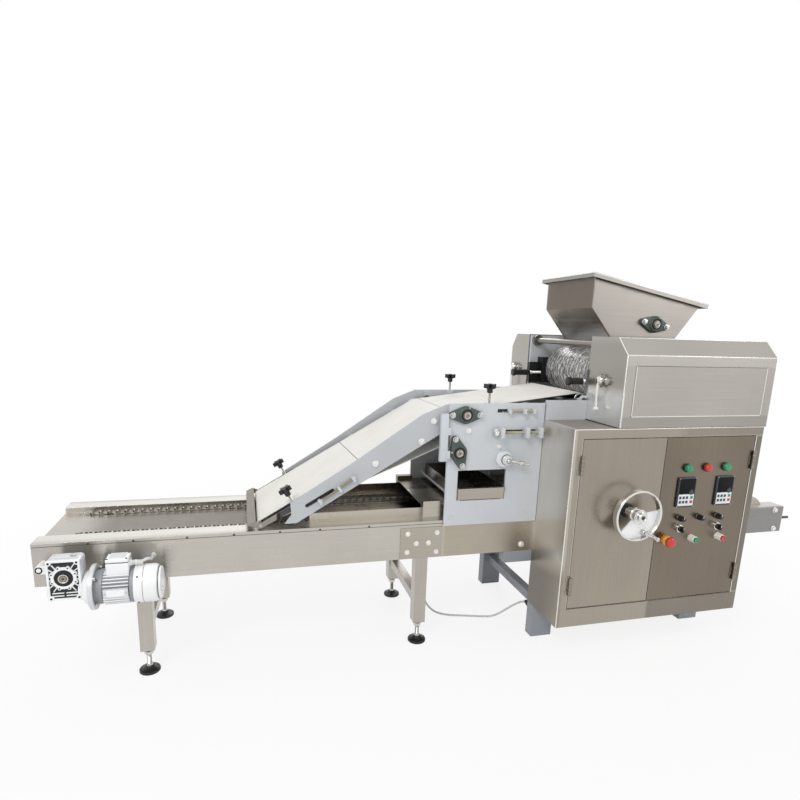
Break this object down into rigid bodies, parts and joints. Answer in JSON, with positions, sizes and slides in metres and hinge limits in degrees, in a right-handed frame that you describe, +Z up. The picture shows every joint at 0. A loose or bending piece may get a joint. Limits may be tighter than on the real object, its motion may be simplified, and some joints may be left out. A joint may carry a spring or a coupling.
{
  "type": "biscuit making machine",
  "caption": "Rotary biscuit moulder with sloping hopper, geared rollers, inclined canvas take-off belt, stainless cabinet with hinged doors and a long chain tray conveyor on legs.",
  "frame": {"origin": "on the floor, at the middle of the outer box of the machine without its loose supply lead", "axes": "+X along the tray conveyor from the geared end to the tail, +Y away from the operator, +Z up"},
  "size_m": [2.622, 0.8654, 1.2238],
  "materials": {
    "stainless": "brushed",
    "grey_paint": "satin",
    "green_cast": "painted",
    "black_steel": "matte",
    "alloy": "cast and painted",
    "canvas": "woven",
    "steel": "turned",
    "bronze": "wrapped in film",
    "roller_rubber": "ground",
    "bright": "polished",
    "black_plastic": "moulded",
    "panel_grey": "moulded",
    "green": "moulded",
    "red": "moulded",
    "white_cable": "sheathed"
  },
  "bodies": {
    "machine": {"main_frame": "grey_paint", "front_side_plate": "grey_paint", "back_side_plate": "grey_paint", "roller_walls": "grey_paint", "cabinet_shell": "stainless", "front_housing": "stainless", "back_housing": "stainless", "hopper": "stainless", "tie_rod": "steel", "mould_bearing_blocks": "black_steel", "flange_bearings": "green_cast", "conveyor_trough": "stainless", "tray_tunnel": "stainless", "conveyor_legs": "stainless", "levelling_feet": "black_plastic", "conveyor_chains": "steel", "conveyor_gearmotor": "alloy", "motor_lead": "white_cable", "supply_lead": "white_cable", "takeoff_belt": "canvas", "incline_plates": "grey_paint", "belt_bed": "grey_paint", "take_ups": "grey_paint", "main_gearmotor": "alloy", "fasteners": "steel"},
    "right_door": {"right_door": "stainless", "panel_fittings": "panel_grey"},
    "left_door": {"left_door": "stainless"},
    "crumb_drawer": {"crumb_drawer": "stainless"},
    "cam_lever": {"cam_lever": "grey_paint"},
    "chain_drive_shaft": {"chain_drive_shaft": "steel"},
    "chain_tail_shaft": {"chain_tail_shaft": "steel"},
    "drive_pinion": {"drive_pinion": "steel"},
    "agitator": {"agitator": "steel"},
    "kink_roller": {"kink_roller": "steel"},
    "return_roller": {"return_roller": "steel"},
    "crest_roller": {"crest_roller": "steel"},
    "nose_roller": {"nose_roller": "steel"},
    "feed_roller": {"feed_roller": "steel"},
    "tension_knob": {"tension_knob": "steel"},
    "front_crank": {"front_crank": "steel"},
    "back_crank": {"back_crank": "steel"},
    "mould_roller": {"mould_roller": "bronze"},
    "rubber_roller": {"rubber_roller": "roller_rubber"},
    "handwheel": {"handwheel": "bright"},
    "handwheel_grip": {"handwheel_grip": "bright"},
    "upper_knob_front": {"upper_knob_front": "black_plastic"},
    "upper_knob_back": {"upper_knob_back": "black_plastic"},
    "lower_knob_front": {"lower_knob_front": "black_plastic"},
    "lower_knob_back": {"lower_knob_back": "black_plastic"},
    "front_clamp_screw": {"front_clamp_screw": "black_plastic"},
    "back_clamp_screw": {"back_clamp_screw": "black_plastic"},
    "selector_left": {"selector_left": "black_plastic"},
    "selector_right": {"selector_right": "black_plastic"},
    "speed_knob_left": {"speed_knob_left": "black_plastic"},
    "speed_knob_middle": {"speed_knob_middle": "black_plastic"},
    "speed_knob_right": {"speed_knob_right": "black_plastic"},
    "start_button": {"start_button": "green"},
    "stop_button": {"stop_button": "red"},
    "estop_button": {"estop_button": "red"}
  },
  "joints": [
    {"name": "left_door_swing", "type": "hinge", "parent": "machine", "child": "left_door", "pos_m": [0.228, -0.31775, 0.45], "axis": [0, 0, -1], "range_deg": [0, 110]},
    {"name": "right_door_swing", "type": "hinge", "parent": "machine", "child": "right_door", "pos_m": [0.858, -0.31775, 0.45], "axis": [0, 0, 1], "range_deg": [0, 110]},
    {"name": "handwheel_turn", "type": "hinge", "parent": "left_door", "child": "handwheel", "pos_m": [0.404, -0.36925, 0.497], "axis": [0, 1, 0], "continuous": true},
    {"name": "grip_turn", "type": "hinge", "parent": "handwheel", "child": "handwheel_grip", "pos_m": [0.43074, -0.40225, 0.44217], "axis": [0, 1, 0], "continuous": true},
    {"name": "estop_press", "type": "slide", "parent": "right_door", "child": "estop_button", "axis": [0, 1, 0], "range_m": [0, 0.006], "stiffness_N_per_m": 1500},
    {"name": "start_press", "type": "slide", "parent": "right_door", "child": "start_button", "axis": [0, 1, 0], "range_m": [0, 0.003], "stiffness_N_per_m": 1500},
    {"name": "stop_press", "type": "slide", "parent": "right_door", "child": "stop_button", "axis": [0, 1, 0], "range_m": [0, 0.003], "stiffness_N_per_m": 1500},
    {"name": "selector_left_turn", "type": "hinge", "parent": "right_door", "child": "selector_left", "pos_m": [0.607, -0.32425, 0.426], "axis": [0, 1, 0], "range_deg": [-45, 45]},
    {"name": "selector_right_turn", "type": "hinge", "parent": "right_door", "child": "selector_right", "pos_m": [0.753, -0.32425, 0.426], "axis": [0, 1, 0], "range_deg": [-45, 45]},
    {"name": "speed_left_turn", "type": "hinge", "parent": "right_door", "child": "speed_knob_left", "pos_m": [0.606, -0.32425, 0.46], "axis": [0, 1, 0], "range_deg": [-140, 140]},
    {"name": "speed_middle_turn", "type": "hinge", "parent": "right_door", "child": "speed_knob_middle", "pos_m": [0.68, -0.32425, 0.46], "axis": [0, 1, 0], "range_deg": [-140, 140]},
    {"name": "speed_right_turn", "type": "hinge", "parent": "right_door", "child": "speed_knob_right", "pos_m": [0.752, -0.32425, 0.46], "axis": [0, 1, 0], "range_deg": [-140, 140]},
    {"name": "mould_turn", "type": "hinge", "parent": "machine", "child": "mould_roller", "pos_m": [0.483, 0, 0.897], "axis": [0, 1, 0], "continuous": true},
    {"name": "rubber_turn", "type": "hinge", "parent": "machine", "child": "rubber_roller", "pos_m": [0.483, 0, 0.749], "axis": [0, 1, 0], "continuous": true},
    {"name": "feed_turn", "type": "hinge", "parent": "machine", "child": "feed_roller", "pos_m": [0.635, 0, 0.897], "axis": [0, 1, 0], "continuous": true},
    {"name": "pinion_turn", "type": "hinge", "parent": "machine", "child": "drive_pinion", "pos_m": [0.55512, -0.16425, 0.67688], "axis": [0, 1, 0], "continuous": true},
    {"name": "agitator_turn", "type": "hinge", "parent": "machine", "child": "agitator", "pos_m": [0.597, 0, 1.068], "axis": [0, 1, 0], "continuous": true},
    {"name": "kink_turn", "type": "hinge", "parent": "machine", "child": "kink_roller", "pos_m": [-0.079, 0, 0.7735], "axis": [0, 1, 0], "continuous": true},
    {"name": "return_turn", "type": "hinge", "parent": "machine", "child": "return_roller", "pos_m": [-0.097, 0, 0.655], "axis": [0, 1, 0], "continuous": true},
    {"name": "crest_turn", "type": "hinge", "parent": "machine", "child": "crest_roller", "pos_m": [0.337, 0, 0.818], "axis": [0, 1, 0], "continuous": true},
    {"name": "nose_turn", "type": "hinge", "parent": "machine", "child": "nose_roller", "pos_m": [-0.704, 0, 0.4435], "axis": [0, 1, 0], "continuous": true},
    {"name": "chain_drive_turn", "type": "hinge", "parent": "machine", "child": "chain_drive_shaft", "pos_m": [-1.209, 0, 0.367], "axis": [0, 1, 0], "continuous": true},
    {"name": "chain_tail_turn", "type": "hinge", "parent": "machine", "child": "chain_tail_shaft", "pos_m": [1.125, 0, 0.367], "axis": [0, 1, 0], "continuous": true},
    {"name": "drawer_pull", "type": "slide", "parent": "machine", "child": "crumb_drawer", "axis": [0, -1, 0], "range_m": [0, 0.25]},
    {"name": "front_crank_swing", "type": "hinge", "parent": "machine", "child": "front_crank", "pos_m": [0.329, -0.21125, 0.89], "axis": [1, 0, 0], "range_deg": [-80, 45]},
    {"name": "back_crank_swing", "type": "hinge", "parent": "machine", "child": "back_crank", "pos_m": [0.329, 0.38075, 0.89], "axis": [1, 0, 0], "range_deg": [-80, 80]},
    {"name": "front_clamp_turn", "type": "hinge", "parent": "machine", "child": "front_clamp_screw", "pos_m": [0.309, -0.11125, 0.878], "axis": [1, 0, 0], "continuous": true},
    {"name": "back_clamp_turn", "type": "hinge", "parent": "machine", "child": "back_clamp_screw", "pos_m": [0.299, 0.25475, 0.878], "axis": [1, 0, 0], "continuous": true},
    {"name": "upper_front_knob_turn", "type": "hinge", "parent": "machine", "child": "upper_knob_front", "pos_m": [0.006, -0.11425, 0.84], "axis": [0, 0, 1], "continuous": true},
    {"name": "upper_back_knob_turn", "type": "hinge", "parent": "machine", "child": "upper_knob_back", "pos_m": [0.006, 0.24575, 0.84], "axis": [0, 0, 1], "continuous": true},
    {"name": "lower_front_knob_turn", "type": "hinge", "parent": "machine", "child": "lower_knob_front", "pos_m": [-0.605, -0.10825, 0.50431], "axis": [-0.501, 0, 0.8655], "continuous": true},
    {"name": "lower_back_knob_turn", "type": "hinge", "parent": "machine", "child": "lower_knob_back", "pos_m": [-0.605, 0.23975, 0.50431], "axis": [-0.501, 0, 0.8655], "continuous": true},
    {"name": "cam_swing", "type": "hinge", "parent": "machine", "child": "cam_lever", "pos_m": [0.058, -0.13425, 0.631], "axis": [0, -1, 0], "range_deg": [-45, 35]},
    {"name": "tension_turn", "type": "hinge", "parent": "machine", "child": "tension_knob", "pos_m": [0.089, -0.14925, 0.718], "axis": [1, 0, 0], "continuous": true}
  ],
  "couplings": [
    {"joint": "rubber_turn", "follows": "mould_turn", "ratio": -1.3871},
    {"joint": "feed_turn", "follows": "mould_turn", "ratio": -1.303},
    {"joint": "pinion_turn", "follows": "mould_turn", "ratio": 2.15},
    {"joint": "crest_turn", "follows": "mould_turn", "ratio": -3.8839},
    {"joint": "kink_turn", "follows": "mould_turn", "ratio": -7.0616},
    {"joint": "nose_turn", "follows": "mould_turn", "ratio": -9.7097},
    {"joint": "return_turn", "follows": "mould_turn", "ratio": 3.1071},
    {"joint": "chain_tail_turn", "follows": "chain_drive_turn", "ratio": 1}
  ]
}
